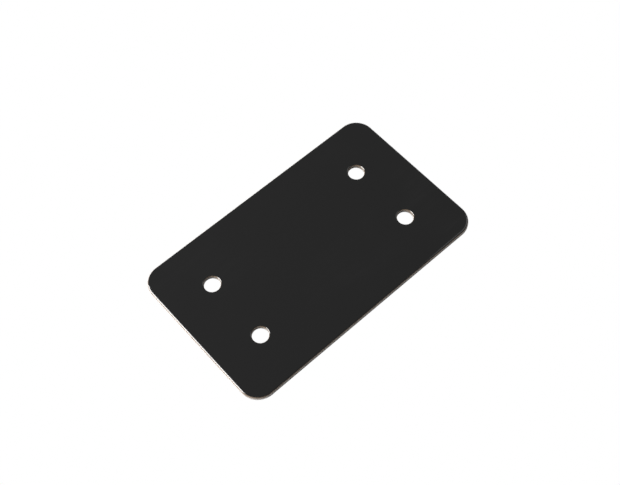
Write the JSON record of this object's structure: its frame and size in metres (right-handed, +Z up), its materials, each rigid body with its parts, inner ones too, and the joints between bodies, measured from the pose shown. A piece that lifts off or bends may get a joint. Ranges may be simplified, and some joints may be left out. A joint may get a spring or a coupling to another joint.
{
  "type": "kick plate",
  "caption": "Flat rectangular cover plate in gloss black with rounded corners, softened edges and plain round through holes for screws or bolts.",
  "frame": {"origin": "centre of the bottom face, which lies against whatever the plate covers", "axes": "+X along the plate's length, +Y across its width, +Z up through its thickness to the show face"},
  "size_m": [0.15, 0.09, 0.0025],
  "materials": {
    "gloss_black": "gloss"
  },
  "bodies": {
    "root": {"kick_plate": "gloss_black"}
  },
  "joints": []
}
